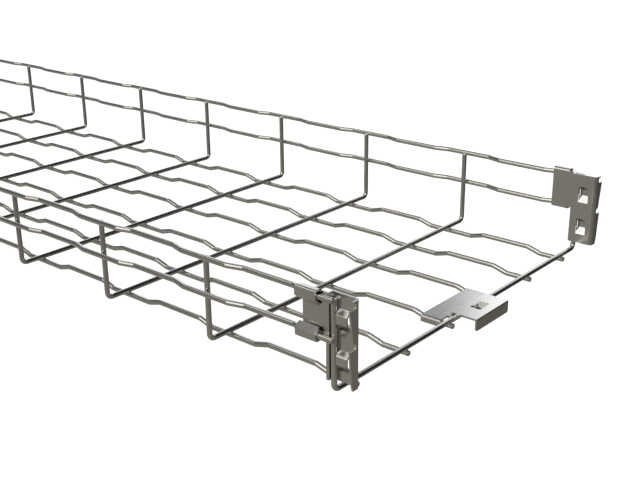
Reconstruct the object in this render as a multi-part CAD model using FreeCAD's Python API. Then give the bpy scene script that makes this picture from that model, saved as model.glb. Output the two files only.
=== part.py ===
import FreeCAD, Part
import math
import os

# Wire mesh cable basket: a welded channel of U-shaped cross wires and long wavy wires,
# with three folded sheet connectors clipped to one end.
# Lengths are in millimetres. +X runs along the basket towards the connector end, +Y is its
# left side, and z = 0 is the level floor under the lowest wires.

# Welded mesh. Floor wires are measured from the basket's middle to each side.
wire_diameter = 3.65
cross_wire_count = 21
cross_wire_pitch = 100.0
channel_half_width = 143.4
bend_radius = 4.0
bend_chords = 3
inner_floor_wire = 25.5
middle_floor_wire = 74.6
outer_floor_wire = 124.7
middle_wire_height = 32.4
top_wire_height = 56.4
leg_above_wire = 1.0
wire_overhang = 2.4

# Wave of the long wires: a flat run at each weld and a flat run set back between welds.
# The flat run's middle is moved from the weld towards the connector end.
weld_flat = 38.5
wave_shift = 1.9
ramp_length = 11.2
wave_depth = 3.1

# Folded sheet of the connectors
sheet_thickness = 1.2
crease_round = 0.4
hook_bend = 1.0
side_flange_bend = 1.4
floor_flange_round = 0.8
seat_clearance = 0.1
connector_reach = 16.0
plate_start = -21.0

# Side connector
side_hook_start = -23.0
side_hook_end = -8.0
side_stub_start = -4.3
side_foot_height = 5.9
side_above_wire = 3.0
side_plate_foot = 31.2
top_hook_room = 0.7
top_lip_drop = 5.4
top_lip_gap = 0.65
lower_lip_rise = 5.4
lower_lip_gap = 1.35
hook_straight = 1.6
lip_cut_length = 5.0
lip_cut_height = 2.4

# Teeth of the side connector's end flange, measured outwards from the leg's middle
notch_clearance = 0.15
notch_centre_out = 2.2
horn_out = 3.0
tooth_out = 5.9
upper_tooth_root_out = 3.0
lower_tooth_root_out = 4.3
lower_tooth_root_height = 10.6
flange_foot_out = 3.1

# Bridges pressed out of the connectors
bridge_start = 2.3
bridge_width = 7.7
bridge_length = 12.5
upper_slope = 3.0
lower_slope = 4.8
bridge_rise = 3.3
upper_bridge_height = 44.0
lower_bridge_height = 19.0

# Floor connector
floor_hook_end = -6.2
floor_bridge_start = 1.6
floor_bridge_centre = 1.0
floor_tongue_half_width = 19.7
flange_corner_round = 1.5
floor_clearance = 0.1

# Worked out from the sizes above
wire_half = wire_diameter / 2
leg_height = top_wire_height + leg_above_wire
side_top_height = top_wire_height + side_above_wire
basket_length = (cross_wire_count - 1) * cross_wire_pitch
connector_end_x = (basket_length + wire_overhang - connector_reach) / 2
cross_wire_z = 1.5 * wire_diameter
wire_corner = wire_diameter / math.sqrt(3)
sheet_half = sheet_thickness / 2
long_wire_out = wire_diameter
hook_out = long_wire_out + wire_half + sheet_half
plate_out = long_wire_out - wire_half - sheet_half
plate_face = plate_out + sheet_half
tongue_out = -wire_half - sheet_half
joggle_x = -wire_corner - seat_clearance - sheet_half
flange_x = connector_reach - sheet_half

# Folds as (inner radius, outer radius)
sheet_end = (0, 0)
sharp_fold = (0, 0)
pressed_crease = (0, crease_round)
hook_fold = (hook_bend, hook_bend + sheet_thickness)
side_flange_fold = (side_flange_bend, side_flange_bend + sheet_thickness)
floor_flange_fold = (0, floor_flange_round)

UP = FreeCAD.Vector(0, 0, 1)
ALONG = FreeCAD.Vector(1, 0, 0)
ACROSS = FreeCAD.Vector(0, 1, 0)


def cross_wire_x(index):
    """Place of a cross wire; index 0 is the one at the connector end."""
    return connector_end_x - index * cross_wire_pitch


def hexagon_corners():
    """Corners of the wire's six-sided section, with its flats facing within the bend's plane."""
    corners = []
    for step in range(6):
        angle = math.radians(60 * step)
        corners.append((wire_corner * math.sin(angle), wire_corner * math.cos(angle)))
    return corners


def wire_along(points, side):
    """One wire: a six-sided bar, mitred along points that lie in the plane across side."""
    runs = []
    for start, end in zip(points, points[1:]):
        runs.append((end - start).normalize())
    rings = []
    for index, point in enumerate(points):
        before = side.cross(runs[max(index - 1, 0)])
        after = side.cross(runs[min(index, len(runs) - 1)])
        mitre = (before + after) * (1 / (1 + before.dot(after)))
        rings.append([point + mitre * a + side * b for a, b in hexagon_corners()])
    faces = [Part.Face(Part.makePolygon(rings[0] + rings[0][:1]))]
    for first, second in zip(rings, rings[1:]):
        for corner in range(6):
            other = (corner + 1) % 6
            outline = [first[corner], first[other], second[other], second[corner], first[corner]]
            faces.append(Part.Face(Part.makePolygon(outline)))
    faces.append(Part.Face(Part.makePolygon(rings[-1] + rings[-1][:1])))
    shell = Part.makeShell(faces)
    shell.sewShape()
    solid = Part.makeSolid(shell)
    if solid.Volume < 0:
        solid.reverse()
    return solid


def cross_wire(index):
    """U-shaped wire: two upright legs joined by a floor run, with a short bend at each corner."""
    x = cross_wire_x(index)
    left_half = []
    for step in range(bend_chords + 1):
        angle = math.radians(90 * step / bend_chords)
        y = channel_half_width - bend_radius * (1 - math.cos(angle))
        z = cross_wire_z + bend_radius * (1 - math.sin(angle))
        left_half.append((y, z))
    left_half.insert(0, (channel_half_width, cross_wire_z + leg_height))
    path = [FreeCAD.Vector(x, y, z) for y, z in left_half]
    path += [FreeCAD.Vector(x, -y, z) for y, z in reversed(left_half)]
    return wire_along(path, ALONG)


def wave_stations(bays):
    """Stations of a long wire as (x, share of the wave): 0 at the welds and 1 between them."""
    stations = [(connector_end_x + wire_overhang, 0)]
    for index in range(bays):
        start = cross_wire_x(index) + wave_shift - weld_flat / 2
        end = cross_wire_x(index + 1) + wave_shift + weld_flat / 2
        stations.append((start, 0))
        stations.append((start - ramp_length, 1))
        stations.append((end + ramp_length, 1))
        stations.append((end, 0))
    stations.append((cross_wire_x(bays) - wire_overhang, 0))
    return stations


def floor_wire(y, bays):
    """Long wire under the cross wires, rising between them."""
    low = cross_wire_z - wire_diameter
    path = [FreeCAD.Vector(x, y, low + share * wave_depth) for x, share in wave_stations(bays)]
    return wire_along(path, ACROSS)


def side_wire(sign, height, bays):
    """Long wire outside the legs, set back inwards between them."""
    path = []
    for x, share in wave_stations(bays):
        out = channel_half_width + long_wire_out - share * wave_depth
        path.append(FreeCAD.Vector(x, sign * out, cross_wire_z + height))
    return wire_along(path, UP)


def rounded_face(corners, across, up):
    """Flat face from corners (a, b, radius), with a along across and b along up."""
    points = [across * a + up * b for a, b, radius in corners]
    edges = []
    ends = []
    for index, point in enumerate(points):
        radius = corners[index][2]
        back = (points[index - 1] - point).normalize()
        ahead = (points[(index + 1) % len(points)] - point).normalize()
        if radius == 0:
            ends.append((point, point))
            continue
        half_angle = back.getAngle(ahead) / 2
        reach = radius / math.tan(half_angle)
        centre = point + (back + ahead).normalize() * (radius / math.sin(half_angle))
        start = point + back * reach
        end = point + ahead * reach
        middle = centre + (point - centre).normalize() * radius
        edges.append(Part.Arc(start, middle, end).toShape())
        ends.append((start, end))
    for index, (start, end) in enumerate(ends):
        next_start = ends[(index + 1) % len(ends)][0]
        if end.distanceToPoint(next_start) > 1e-6:
            edges.append(Part.LineSegment(end, next_start).toShape())
    return Part.Face(Part.Wire(Part.sortEdges(edges)[0]))


def folded_sheet(path, across, up):
    """Edge-on face of a folded sheet from its middle line (a, b, fold)."""
    left = []
    right = []
    last = len(path) - 1
    for index, (a, b, (inner, outer)) in enumerate(path):
        start = path[max(index - 1, 0)]
        end = path[min(index + 1, last)]
        before_a, before_b = unit(path[max(index, 1) - 1], path[max(index, 1)])
        after_a, after_b = unit(path[min(index, last - 1)], path[min(index, last - 1) + 1])
        turn = before_a * after_b - before_b * after_a
        size = sheet_half / (1 + before_a * after_a + before_b * after_b)
        shift_a = -(before_b + after_b) * size
        shift_b = (before_a + after_a) * size
        left.append((a + shift_a, b + shift_b, inner if turn > 0 else outer))
        right.append((a - shift_a, b - shift_b, outer if turn > 0 else inner))
    return rounded_face(left + right[::-1], across, up)


def unit(start, end):
    """Direction from one flat point to another."""
    length = math.hypot(end[0] - start[0], end[1] - start[1])
    return (end[0] - start[0]) / length, (end[1] - start[1]) / length


def block(low, high):
    """Box between two opposite corners."""
    size = [b - a for a, b in zip(low, high)]
    return Part.makeBox(size[0], size[1], size[2], FreeCAD.Vector(*low))


def side_hooks():
    """Plate behind the two side wires, with a hook over the top one and one round the middle one.

    Drawn in a frame where x and z start at the end cross wire and y points out of the leg."""
    round_corner = wire_corner + seat_clearance + sheet_half
    top = top_wire_height + round_corner + top_hook_room
    bottom = middle_wire_height - round_corner
    path = [
        (plate_face + top_lip_gap, top_wire_height - top_lip_drop, sheet_end),
        (hook_out, top_wire_height - hook_straight, pressed_crease),
        (hook_out, top, hook_fold),
        (plate_out, top, hook_fold),
        (plate_out, bottom, hook_fold),
        (hook_out, bottom, hook_fold),
        (hook_out, middle_wire_height + hook_straight, pressed_crease),
        (plate_face + lower_lip_gap, middle_wire_height + lower_lip_rise, sheet_end),
    ]
    face = folded_sheet(path, ACROSS, UP)
    face.translate(ALONG * side_hook_start)
    hooks = face.extrude(ALONG * (side_hook_end - side_hook_start))
    return hooks.cut(hook_end_cut()).cut(lip_corner_cut())


def hook_end_cut():
    """Space that slants from the plate's edge out to the hooks' longer outer faces."""
    far = side_hook_start - sheet_thickness
    corners = [
        (far, plate_out - 2 * sheet_thickness),
        (plate_start, plate_out - 2 * sheet_thickness),
        (plate_start, plate_face),
        (side_hook_start, hook_out - sheet_half),
        (far, hook_out - sheet_half),
    ]
    points = [FreeCAD.Vector(a, b, 0) for a, b in corners + corners[:1]]
    return Part.Face(Part.makePolygon(points)).extrude(UP * (side_top_height + sheet_thickness))


def lip_corner_cut():
    """Slanted corner at the start of the top hook's lip."""
    foot = top_wire_height - top_lip_drop - sheet_thickness
    corners = [
        (side_hook_start, foot),
        (side_hook_start + lip_cut_length, foot),
        (side_hook_start + lip_cut_length, foot + sheet_thickness),
        (side_hook_start, foot + sheet_thickness + lip_cut_height),
    ]
    points = [FreeCAD.Vector(a, plate_face, b) for a, b in corners + corners[:1]]
    return Part.Face(Part.makePolygon(points)).extrude(ACROSS * (hook_out + sheet_thickness))


def bridge_section(centre):
    """Middle line of a pressed bridge along the sheet: up a slope, along its top and down."""
    top = tongue_out + bridge_rise
    foot = centre - bridge_length / 2
    head = centre + bridge_length / 2
    return [
        (tongue_out, foot - sheet_thickness, sheet_end),
        (tongue_out, foot, sharp_fold),
        (top, foot + lower_slope, sharp_fold),
        (top, head - upper_slope, sharp_fold),
        (tongue_out, head, sharp_fold),
        (tongue_out, head + sheet_thickness, sheet_end),
    ]


def add_bridge(sheet, start, centre):
    """Cut the bridge's window into an upright sheet and add the bridge, bulging outwards."""
    half = bridge_length / 2
    window = block(
        (start, tongue_out - sheet_thickness, centre - half),
        (start + bridge_width, tongue_out + sheet_thickness, centre + half),
    )
    face = folded_sheet(bridge_section(centre), ACROSS, UP)
    face.translate(ALONG * start)
    bridge = face.extrude(ALONG * bridge_width)
    return sheet.cut(window).fuse(bridge)


def toothed_edge():
    """Space outside the end flange: two hooked teeth under notches level with the side wires."""
    radius = wire_half + notch_clearance
    far = tooth_out + connector_reach
    start = ACROSS * notch_centre_out
    edges = []
    corners = [(far, side_foot_height - sheet_thickness)]
    corners.append((flange_foot_out - sheet_thickness, side_foot_height - sheet_thickness))
    corners.append((flange_foot_out, side_foot_height))
    corners.append((lower_tooth_root_out, lower_tooth_root_height))
    corners.append((tooth_out, middle_wire_height - radius))
    corners.append((notch_centre_out, middle_wire_height - radius))
    corners.append((notch_centre_out, middle_wire_height + radius))
    corners.append((upper_tooth_root_out, middle_wire_height + radius))
    corners.append((tooth_out, top_wire_height - radius))
    corners.append((notch_centre_out, top_wire_height - radius))
    corners.append((notch_centre_out, top_wire_height + radius))
    corners.append((horn_out, top_wire_height + radius))
    corners.append((horn_out, side_top_height + sheet_thickness))
    corners.append((far, side_top_height + sheet_thickness))
    for (a, b), (c, d) in zip(corners, corners[1:] + corners[:1]):
        first = ACROSS * a + UP * b
        second = ACROSS * c + UP * d
        if a == c == notch_centre_out:
            deep = start - ACROSS * radius + UP * ((b + d) / 2)
            edges.append(Part.Arc(first, deep, second).toShape())
        else:
            edges.append(Part.LineSegment(first, second).toShape())
    face = Part.Face(Part.Wire(edges))
    face.translate(ALONG * (flange_x - sheet_half - side_flange_bend))
    return face.extrude(ALONG * (side_flange_bend + 2 * sheet_thickness))


def side_connector():
    """Folded sheet on the left leg of the end cross wire, relieved where the wires turn in."""
    plan = [
        (side_hook_end, plate_out, sheet_end),
        (joggle_x, plate_out, pressed_crease),
        (joggle_x, tongue_out, pressed_crease),
        (flange_x, tongue_out, side_flange_fold),
        (flange_x, tooth_out + sheet_thickness, sheet_end),
    ]
    sheet = folded_sheet(plan, ALONG, ACROSS)
    sheet.translate(UP * side_foot_height)
    sheet = sheet.extrude(UP * (side_top_height - side_foot_height))
    under_plate = block(
        (side_hook_start, plate_out - 2 * sheet_thickness, 0),
        (side_stub_start, plate_out + 2 * sheet_thickness, side_plate_foot),
    )
    sheet = sheet.cut(under_plate).cut(toothed_edge())
    sheet = add_bridge(sheet, bridge_start, upper_bridge_height)
    sheet = add_bridge(sheet, bridge_start, lower_bridge_height)
    sheet = sheet.fuse(side_hooks())
    sheet.translate(FreeCAD.Vector(connector_end_x, channel_half_width, cross_wire_z))
    sheet = sheet.cut(side_wire(1, middle_wire_height, 1)).cut(side_wire(1, top_wire_height, 1))
    return sheet.removeSplitter()


def floor_hooks():
    """Plate on the two middle floor wires, folded down outside each of them.

    Drawn like the side connector, with y pointing down out of the floor."""
    outside = inner_floor_wire + wire_corner + seat_clearance + sheet_half
    foot = cross_wire_z - floor_clearance
    path = [
        (foot, -outside, sheet_end),
        (plate_out, -outside, hook_fold),
        (plate_out, outside, hook_fold),
        (foot, outside, sheet_end),
    ]
    face = folded_sheet(path, ACROSS, UP)
    face.translate(ALONG * plate_start)
    return face.extrude(ALONG * (floor_hook_end - plate_start))


def flange_corners(sheet):
    """Edges across the sheet at the two free corners of the floor connector's end flange."""
    free_edge = cross_wire_z - floor_clearance
    corners = []
    for edge in sheet.Edges:
        along_x = edge.BoundBox.XLength > sheet_half
        short = edge.BoundBox.YLength + edge.BoundBox.ZLength < sheet_half
        if along_x and short and abs(edge.BoundBox.YMax - free_edge) < sheet_half:
            corners.append(edge)
    return corners


def floor_connector():
    """Folded sheet over the end cross wire, in the middle of the floor.

    Its plate is relieved underneath where the floor wires turn up, and its bridge at the
    cross wire."""
    plan = [
        (floor_hook_end, plate_out, sheet_end),
        (joggle_x, plate_out, pressed_crease),
        (joggle_x, tongue_out, pressed_crease),
        (flange_x, tongue_out, floor_flange_fold),
        (flange_x, cross_wire_z - floor_clearance, sheet_end),
    ]
    sheet = folded_sheet(plan, ALONG, ACROSS)
    sheet.translate(UP * -floor_tongue_half_width)
    sheet = sheet.extrude(UP * (2 * floor_tongue_half_width))
    sheet = sheet.makeFillet(flange_corner_round, flange_corners(sheet))
    sheet = add_bridge(sheet, floor_bridge_start, floor_bridge_centre)
    sheet = sheet.fuse(floor_hooks())
    sheet.rotate(FreeCAD.Vector(0, 0, 0), ALONG, -90)
    sheet.translate(FreeCAD.Vector(connector_end_x, 0, cross_wire_z))
    sheet = sheet.cut(cross_wire(0))
    for sign in (1, -1):
        sheet = sheet.cut(floor_wire(sign * inner_floor_wire, 1))
    return sheet.removeSplitter()


def mirrored(shape):
    """The same piece on the basket's other side."""
    return shape.mirror(FreeCAD.Vector(0, 0, 0), ACROSS)


def all_pieces():
    """Every piece of the basket by name."""
    bays = cross_wire_count - 1
    pieces = {}
    for index in range(cross_wire_count):
        pieces["cross_wire_%02d" % (index + 1)] = cross_wire(index)
    left_places = (inner_floor_wire, middle_floor_wire, outer_floor_wire)
    places = sorted(left_places + tuple(-y for y in left_places))
    for index, y in enumerate(places):
        pieces["floor_wire_%d" % (index + 1)] = floor_wire(y, bays)
    for side, sign in (("left", 1), ("right", -1)):
        pieces["side_wire_middle_" + side] = side_wire(sign, middle_wire_height, bays)
        pieces["side_wire_top_" + side] = side_wire(sign, top_wire_height, bays)
    left_connector = side_connector()
    pieces["side_connector_left"] = left_connector
    pieces["side_connector_right"] = mirrored(left_connector)
    pieces["floor_connector"] = floor_connector()
    return pieces


os.makedirs("parts", exist_ok=True)
for name, shape in all_pieces().items():
    solids = shape.Solids
    solid = solids[0] if len(solids) == 1 else Part.makeCompound(solids)
    solid.exportStep("parts/" + name + ".step")
    print(name, len(solids), "solid", shape.isValid(), round(shape.Volume, 1))
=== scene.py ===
import math

import bmesh
import bpy
from mathutils import Matrix, Vector


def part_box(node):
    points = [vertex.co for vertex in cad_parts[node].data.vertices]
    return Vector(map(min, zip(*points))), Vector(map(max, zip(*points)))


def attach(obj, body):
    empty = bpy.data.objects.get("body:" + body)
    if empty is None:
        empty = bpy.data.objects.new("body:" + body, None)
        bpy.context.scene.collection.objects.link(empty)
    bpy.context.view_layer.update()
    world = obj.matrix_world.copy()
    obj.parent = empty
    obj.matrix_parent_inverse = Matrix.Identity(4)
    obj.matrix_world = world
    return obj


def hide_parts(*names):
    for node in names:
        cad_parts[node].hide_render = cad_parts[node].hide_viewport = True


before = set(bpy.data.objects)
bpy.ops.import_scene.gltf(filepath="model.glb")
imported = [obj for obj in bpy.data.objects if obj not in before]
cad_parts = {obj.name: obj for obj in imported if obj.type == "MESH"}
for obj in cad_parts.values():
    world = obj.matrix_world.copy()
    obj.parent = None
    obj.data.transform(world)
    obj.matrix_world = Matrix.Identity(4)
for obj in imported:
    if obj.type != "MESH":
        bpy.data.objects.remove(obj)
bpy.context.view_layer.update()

MM = 0.001

# Round wire, in metres. The steps of an end give how far each ring is from the cut and how much
# smaller than the wire it is.
WIRE_RADIUS = 1.825 * MM
WIRE_FACETS = 20
CUT_END = ((0.0, 0.22 * MM), (0.22 * MM, 0.0))
LEG_END = (
    (0.0, 1.4 * MM),
    (0.11 * MM, 0.86 * MM),
    (0.41 * MM, 0.41 * MM),
    (0.86 * MM, 0.11 * MM),
    (1.4 * MM, 0.0),
)
BEND_MARGIN = 0.4 * MM

# Wave of the long wires
WELD_FLAT = 38.5 * MM
WAVE_SHIFT = 1.9 * MM
RAMP_LENGTH = 11.2 * MM
WAVE_DEPTH = 3.1 * MM
WAVE_BEND = 3.0 * MM
WAVE_BEND_RINGS = 2

# Cross wires and their welds
CROSS_BEND = 4.0 * MM
CROSS_BEND_RINGS = 8
RIGHT_LEG_DROP = 0.9 * MM
WELD_REACH = 1.3 * MM
WELD_DEPTH = 0.45 * MM
WELD_SEGMENTS = 14
WELD_RINGS = 8

# Zinc: its two greys, the part of the noise that is used, the share of fine grain in it, how many
# times wider the cloudy patches are, and where the two greys lie in the mixed noise
DARK_ZINC = (0.65, 0.65, 0.64, 1)
LIGHT_ZINC = (0.71, 0.71, 0.70, 1)
NOISE_RANGE = (0.3, 0.7)
GRAIN_SHARE = 0.6
CLOUD_SIZE = 12
GREY_RANGE = (0.36, 0.64)
BUMP_STRENGTH = 0.5

# Floor
FLOOR_SIZE = 400
FLOOR_DROP = 0.2 * MM
FLOOR_GREY = 0.3

# Camera, measured from the end cross wire's middle line
CAMERA_FROM_END = Vector((314.357, -523.800, 276.068)) * MM
CAMERA_RIGHT = Vector((0.763058, 0.646290, -0.007159))
CAMERA_DOWN = Vector((0.222995, -0.273648, -0.935623))
CAMERA_LENS = 56.112
SENSOR_WIDTH = 36.0

# Tints of the light
WARM = (1.10, 1.02, 0.87)
CREAM = (1.04, 1.01, 0.95)
NEUTRAL = (1.0, 1.0, 0.99)
COOL = (0.96, 1.0, 1.04)

# Soft boxes: azimuth and elevation of the middle, half width, half height, roll and soft edge in
# degrees, then strength and tint
SOFT_BOXES = (
    (89, 38, 15, 4, 14, 20, 0.76, NEUTRAL),
    (115, 25, 5, 11, 6, 3, 1.75, NEUTRAL),
    (125, 12, 7, 20, 5, 12, 0.29, COOL),
    (143, 24, 12, 15, -29, 4, 1.08, COOL),
    (150, 44, 12, 9, -48, 8, 0.30, NEUTRAL),
    (218, 80, 27, 4, 50, 16, 0.36, CREAM),
    (266, 49, 19, 27, -28, 12, 1.19, CREAM),
    (262, 15, 24, 13, -10, 6, 0.65, WARM),
    (211, 47, 8, 9, 0, 5, 1.05, WARM),
    (236, 43, 5, 6, -42, 6, 1.0, NEUTRAL),
    (182, -10, 29, 35, -37, 20, 0.11, CREAM),
    (208, -55, 51, 39, 22, 9, 0.09, WARM),
    (135, -10, 18, 16, -32, 10, 0.50, NEUTRAL),
    (325, 40, 28, 22, 0, 16, 0.90, NEUTRAL),
)

# A soft box lights only its own half of the sky, from the first to the second of these shares
FACING_BAND = (0.0, 0.1)

# Dim room below and above: azimuth of its light side, then its strength on the dark side and on
# the light side. The band gives the heights between which the lower part gives way to the upper.
LOW_ROOM = (315, 0.11, 0.20)
HIGH_ROOM = (266, 0.012, 0.125)
HORIZON_BAND = (-0.52, -0.07)

ALONG = Vector((1, 0, 0))
ACROSS = Vector((0, 1, 0))
UP = Vector((0, 0, 1))


def new_material(name):
    """A node material and its Principled shader."""
    material = bpy.data.materials.new(name)
    material.use_nodes = True
    tree = material.node_tree
    return material, tree.nodes, tree.links, tree.nodes["Principled BSDF"]


def noise(nodes, links, scale, detail, source):
    """Noise over the object's own coordinates, in features per metre."""
    texture = nodes.new("ShaderNodeTexNoise")
    texture.inputs["Scale"].default_value = scale
    texture.inputs["Detail"].default_value = detail
    links.new(source, texture.inputs["Vector"])
    return texture.outputs["Fac"]


def mapped(nodes, links, value, low, high):
    """A noise value spread between two limits."""
    spread = nodes.new("ShaderNodeMapRange")
    spread.inputs["From Min"].default_value = NOISE_RANGE[0]
    spread.inputs["From Max"].default_value = NOISE_RANGE[1]
    spread.inputs["To Min"].default_value = low
    spread.inputs["To Max"].default_value = high
    links.new(value, spread.inputs["Value"])
    return spread.outputs["Result"]


def zinc(name, rough_low, rough_high, grain_scale, bump_depth):
    """Zinc coating: fine grain in its colour and gloss, over slower cloudy patches."""
    material, nodes, links, shader = new_material(name)
    shader.inputs["Metallic"].default_value = 1.0
    place = nodes.new("ShaderNodeTexCoord").outputs["Object"]
    grain = noise(nodes, links, grain_scale, 3.0, place)
    cloud = noise(nodes, links, grain_scale / CLOUD_SIZE, 2.0, place)
    both = nodes.new("ShaderNodeMath")
    both.operation = "MULTIPLY_ADD"
    both.inputs[1].default_value = GRAIN_SHARE
    links.new(grain, both.inputs[0])
    share = nodes.new("ShaderNodeMath")
    share.operation = "MULTIPLY"
    share.inputs[1].default_value = 1 - GRAIN_SHARE
    links.new(cloud, share.inputs[0])
    links.new(share.outputs[0], both.inputs[2])
    ramp = nodes.new("ShaderNodeValToRGB")
    for stop, place_on_ramp, grey in zip(ramp.color_ramp.elements, GREY_RANGE, (DARK_ZINC, LIGHT_ZINC)):
        stop.position = place_on_ramp
        stop.color = grey
    links.new(both.outputs[0], ramp.inputs["Fac"])
    links.new(ramp.outputs["Color"], shader.inputs["Base Color"])
    roughness = mapped(nodes, links, both.outputs[0], rough_low, rough_high)
    links.new(roughness, shader.inputs["Roughness"])
    bump = nodes.new("ShaderNodeBump")
    bump.inputs["Strength"].default_value = BUMP_STRENGTH
    bump.inputs["Distance"].default_value = bump_depth
    links.new(grain, bump.inputs["Height"])
    links.new(bump.outputs["Normal"], shader.inputs["Normal"])
    return material


def corner_path(points, radius, rings):
    """The points with each inner corner rounded by an arc.

    A point just before and just after each arc keeps the straight runs evenly shaded."""
    path = [points[0]]
    for before, corner, after in zip(points, points[1:], points[2:]):
        back = (before - corner).normalized()
        ahead = (after - corner).normalized()
        turn = math.pi - back.angle(ahead)
        reach = radius * math.tan(turn / 2)
        centre = corner + (back + ahead).normalized() * (radius / math.cos(turn / 2))
        start = corner + back * reach
        axis = (-back).cross(ahead).normalized()
        path.append(corner + back * (reach + BEND_MARGIN))
        for step in range(rings + 1):
            angle = turn * step / rings
            path.append(centre + Matrix.Rotation(angle, 3, axis) @ (start - centre))
        path.append(corner + ahead * (reach + BEND_MARGIN))
    path.append(points[-1])
    return path


def add_tube(mesh, path, side, end):
    """Round wire along a path that lies in the plane across side, with both its cut ends."""
    runs = [(b - a).normalized() for a, b in zip(path, path[1:])]
    rings = []
    for depth, loss in end:
        rings.append((path[0] + runs[0] * depth, runs[0], WIRE_RADIUS - loss))
    for index in range(1, len(path) - 1):
        rings.append((path[index], (runs[index - 1] + runs[index]).normalized(), WIRE_RADIUS))
    for depth, loss in reversed(end):
        rings.append((path[-1] - runs[-1] * depth, runs[-1], WIRE_RADIUS - loss))
    loops = []
    for centre, forward, radius in rings:
        out = side.cross(forward).normalized()
        loop = []
        for facet in range(WIRE_FACETS):
            angle = 2 * math.pi * (facet + 0.5) / WIRE_FACETS
            rim = out * math.cos(angle) + side * math.sin(angle)
            loop.append(mesh.verts.new(centre + rim * radius))
        loops.append(loop)
    for first, second in zip(loops, loops[1:]):
        for facet in range(WIRE_FACETS):
            other = (facet + 1) % WIRE_FACETS
            mesh.faces.new((first[facet], first[other], second[other], second[facet])).smooth = True
    mesh.faces.new(loops[0][::-1])
    mesh.faces.new(loops[-1])
    last = len(end) - 1
    for loop in (loops[0], loops[last], loops[-1 - last], loops[-1]):
        for first, second in zip(loop, loop[1:] + loop[:1]):
            mesh.edges.get((first, second)).smooth = False


def add_weld(mesh, place, facing):
    """Flattened bead of metal squeezed out where two wires are welded."""
    turn = UP.rotation_difference(facing).to_matrix().to_4x4()
    size = Matrix.Diagonal((WELD_REACH, WELD_REACH, WELD_DEPTH, 1))
    bead = bmesh.ops.create_uvsphere(
        mesh,
        u_segments=WELD_SEGMENTS,
        v_segments=WELD_RINGS,
        radius=1,
        matrix=Matrix.Translation(place) @ turn @ size,
    )
    for vert in bead["verts"]:
        for face in vert.link_faces:
            face.smooth = True


def finish_piece(mesh, name, material, node):
    """Turns the mesh into a piece that stands for one CAD node."""
    bmesh.ops.recalc_face_normals(mesh, faces=mesh.faces)
    data = bpy.data.meshes.new(name)
    mesh.to_mesh(data)
    mesh.free()
    data.materials.append(material)
    piece = bpy.data.objects.new(name, data)
    bpy.context.scene.collection.objects.link(piece)
    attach(piece, "root")
    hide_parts(node)
    return piece


def box_middle(node):
    """Middle of a CAD node's box."""
    low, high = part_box(node)
    return (low + high) / 2


cross_nodes = sorted(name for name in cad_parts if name.startswith("cross_wire"))
floor_nodes = sorted(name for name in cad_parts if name.startswith("floor_wire"))
side_nodes = sorted(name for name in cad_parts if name.startswith("side_wire"))
cross_stations = [box_middle(name).x for name in cross_nodes]
floor_places = [box_middle(name).y for name in floor_nodes]
side_heights = sorted({round(box_middle(name).z, 6) for name in side_nodes})
cross_low, cross_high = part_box(cross_nodes[0])
half_width = cross_high.y - WIRE_RADIUS
cross_height = cross_low.z + WIRE_RADIUS


def build_cross_wire(node, material):
    """U-shaped wire with a bead at each weld, its right leg a little shorter than its left one."""
    x = box_middle(node).x
    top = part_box(node)[1].z
    corners = [
        Vector((x, half_width, top)),
        Vector((x, half_width, cross_height)),
        Vector((x, -half_width, cross_height)),
        Vector((x, -half_width, top - RIGHT_LEG_DROP)),
    ]
    mesh = bmesh.new()
    add_tube(mesh, corner_path(corners, CROSS_BEND, CROSS_BEND_RINGS), ALONG, LEG_END)
    for y in floor_places:
        add_weld(mesh, Vector((x, y, cross_height - WIRE_RADIUS)), UP)
    for z in side_heights:
        for sign in (1, -1):
            add_weld(mesh, Vector((x, sign * (half_width + WIRE_RADIUS), z)), ACROSS)
    finish_piece(mesh, node + "_round", material, node)


def wave_points(level, set_back):
    """Corners of a long wire: level at the welds and moved by set_back between them."""
    points = []
    half_flat = WELD_FLAT / 2
    for first, second in zip(cross_stations, cross_stations[1:]):
        start = first + WAVE_SHIFT - half_flat
        end = second + WAVE_SHIFT + half_flat
        points.append(level + ALONG * start)
        points.append(level + ALONG * (start - RAMP_LENGTH) + set_back)
        points.append(level + ALONG * (end + RAMP_LENGTH) + set_back)
        points.append(level + ALONG * end)
    return points


def build_long_wire(node, material, level, set_back, side):
    """Wavy long wire."""
    low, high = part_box(node)
    points = [level + ALONG * high.x] + wave_points(level, set_back) + [level + ALONG * low.x]
    mesh = bmesh.new()
    add_tube(mesh, corner_path(points, WAVE_BEND, WAVE_BEND_RINGS), side, CUT_END)
    finish_piece(mesh, node + "_round", material, node)


def build_wires(material):
    """All the wires, each in the place of its CAD node."""
    for node in cross_nodes:
        build_cross_wire(node, material)
    for node in floor_nodes:
        level = Vector((0, box_middle(node).y, cross_height - 2 * WIRE_RADIUS))
        build_long_wire(node, material, level, UP * WAVE_DEPTH, ACROSS)
    for node in side_nodes:
        middle = box_middle(node)
        outward = ACROSS * math.copysign(1, middle.y)
        level = outward * (half_width + 2 * WIRE_RADIUS) + UP * middle.z
        build_long_wire(node, material, level, outward * -WAVE_DEPTH, UP)


def dress_connectors(material):
    """The CAD connectors keep their shape and take the sheet's finish."""
    for name in ("side_connector_left", "side_connector_right", "floor_connector"):
        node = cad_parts[name]
        node.data.materials.clear()
        node.data.materials.append(material)


def build_floor():
    """Plain pale floor under the basket."""
    bpy.ops.mesh.primitive_plane_add(size=FLOOR_SIZE, location=(0, 0, -FLOOR_DROP))
    floor = bpy.context.active_object
    floor.name = "studio_floor"
    material, nodes, links, shader = new_material("studio_floor")
    shader.inputs["Base Color"].default_value = (FLOOR_GREY, FLOOR_GREY, FLOOR_GREY, 1)
    shader.inputs["Roughness"].default_value = 1.0
    shader.inputs["Specular IOR Level"].default_value = 0.0
    shader.inputs["Emission Color"].default_value = (1, 1, 1, 1)
    shader.inputs["Emission Strength"].default_value = 1.0
    floor.data.materials.append(material)
    floor.visible_glossy = False


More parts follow.
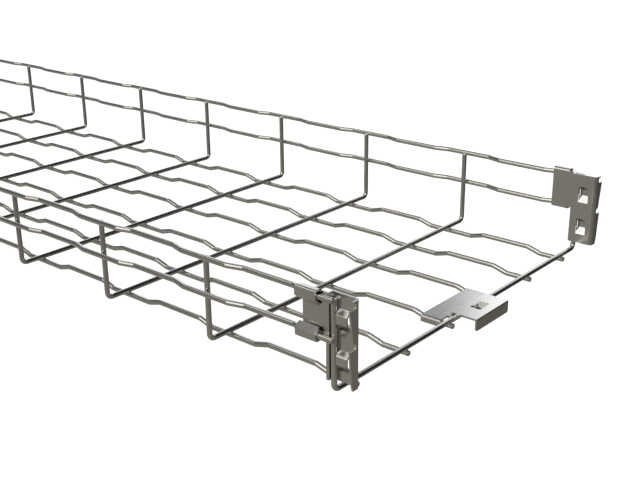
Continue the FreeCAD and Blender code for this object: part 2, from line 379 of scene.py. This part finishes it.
def toward(azimuth, elevation):
    """Direction from degrees: azimuth from +X towards +Y, elevation upwards."""
    turn = math.radians(azimuth)
    lift = math.radians(elevation)
    level = math.cos(lift)
    return Vector((math.cos(turn) * level, math.sin(turn) * level, math.sin(lift)))


def world_dot(nodes, links, direction, axis):
    """How far the direction of view points along an axis."""
    product = nodes.new("ShaderNodeVectorMath")
    product.operation = "DOT_PRODUCT"
    product.inputs[1].default_value = axis
    links.new(direction, product.inputs[0])
    return product.outputs["Value"]


def world_math(nodes, links, operation, first, second=None):
    """One step of arithmetic on one or two values."""
    step = nodes.new("ShaderNodeMath")
    step.operation = operation
    links.new(first, step.inputs[0])
    if second is not None:
        links.new(second, step.inputs[1])
    return step.outputs[0]


def smooth_step(nodes, links, value, start, end, low, high):
    """Value that passes smoothly from low at start to high at end."""
    step = nodes.new("ShaderNodeMapRange")
    step.interpolation_type = "SMOOTHSTEP"
    step.inputs["From Min"].default_value = start
    step.inputs["From Max"].default_value = end
    step.inputs["To Min"].default_value = low
    step.inputs["To Max"].default_value = high
    links.new(value, step.inputs["Value"])
    return step.outputs["Result"]


def tinted(nodes, links, amount, tint):
    """Colour of a light: the tint times its amount."""
    scale = nodes.new("ShaderNodeVectorMath")
    scale.operation = "SCALE"
    scale.inputs[0].default_value = tint
    links.new(amount, scale.inputs["Scale"])
    return scale.outputs["Vector"]


def soft_panel(nodes, links, direction, panel):
    """Light of one row of SOFT_BOXES, as a panel far away."""
    azimuth, elevation, half_across, half_up, roll, soft, strength, tint = panel
    ahead = toward(azimuth, elevation)
    turn = Matrix.Rotation(math.radians(roll), 3, ahead)
    side = turn @ toward(azimuth + 90, 0)
    above = ahead.cross(side)
    facing = world_dot(nodes, links, direction, ahead)
    amount = smooth_step(nodes, links, facing, *FACING_BAND, 0.0, strength)
    for axis, half in ((side, half_across), (above, half_up)):
        off = world_math(nodes, links, "ABSOLUTE", world_dot(nodes, links, direction, axis))
        inside = math.sin(math.radians(max(half - soft / 2, 0)))
        outside = math.sin(math.radians(half + soft / 2))
        edge = smooth_step(nodes, links, off, inside, outside, 1.0, 0.0)
        amount = world_math(nodes, links, "MULTIPLY", amount, edge)
    return tinted(nodes, links, amount, tint)


def room_light(nodes, links, direction, room, share):
    """Dim light of the room's lower or upper part, lighter towards one side."""
    azimuth, dark, light = room
    side = world_dot(nodes, links, direction, toward(azimuth, 0))
    amount = smooth_step(nodes, links, side, -1.0, 1.0, dark, light)
    return world_math(nodes, links, "MULTIPLY", amount, share)


def studio_ground(nodes, links, direction):
    """Dim surroundings: lighter below the horizon than above it."""
    height = world_dot(nodes, links, direction, UP)
    below = smooth_step(nodes, links, height, *HORIZON_BAND, 1.0, 0.0)
    above = smooth_step(nodes, links, height, *HORIZON_BAND, 0.0, 1.0)
    low_light = tinted(nodes, links, room_light(nodes, links, direction, LOW_ROOM, below), WARM)
    high_light = tinted(nodes, links, room_light(nodes, links, direction, HIGH_ROOM, above), CREAM)
    return [low_light, high_light]


def build_light():
    """Soft studio light: soft boxes at the far side, in front and overhead, in a dim room."""
    scene = bpy.context.scene
    scene.view_settings.view_transform = "Standard"
    world = bpy.data.worlds.new("studio")
    scene.world = world
    world.use_nodes = True
    nodes = world.node_tree.nodes
    links = world.node_tree.links
    direction = nodes.new("ShaderNodeTexCoord").outputs["Generated"]
    lights = studio_ground(nodes, links, direction)
    for panel in SOFT_BOXES:
        lights.append(soft_panel(nodes, links, direction, panel))
    total = lights[0]
    for light in lights[1:]:
        both = nodes.new("ShaderNodeVectorMath")
        both.operation = "ADD"
        links.new(total, both.inputs[0])
        links.new(light, both.inputs[1])
        total = both.outputs["Vector"]
    links.new(total, nodes["Background"].inputs["Color"])
    nodes["Background"].inputs["Strength"].default_value = 1.0


def build_camera():
    """Camera at the photograph's viewing angle."""
    data = bpy.data.cameras.new("camera")
    data.sensor_width = SENSOR_WIDTH
    data.lens = CAMERA_LENS
    camera = bpy.data.objects.new("camera", data)
    bpy.context.scene.collection.objects.link(camera)
    backward = CAMERA_DOWN.cross(CAMERA_RIGHT)
    turn = Matrix((CAMERA_RIGHT, -CAMERA_DOWN, backward)).transposed().to_4x4()
    end = Vector((cross_stations[0], 0, cross_height))
    camera.matrix_world = Matrix.Translation(end + CAMERA_FROM_END) @ turn
    bpy.context.scene.camera = camera


wire_zinc = zinc("wire_zinc", 0.15, 0.19, grain_scale=900, bump_depth=0.002 * MM)
sheet_zinc = zinc("sheet_zinc", 0.18, 0.23, grain_scale=1400, bump_depth=0.003 * MM)
build_wires(wire_zinc)
dress_connectors(sheet_zinc)
build_floor()
build_light()
build_camera()
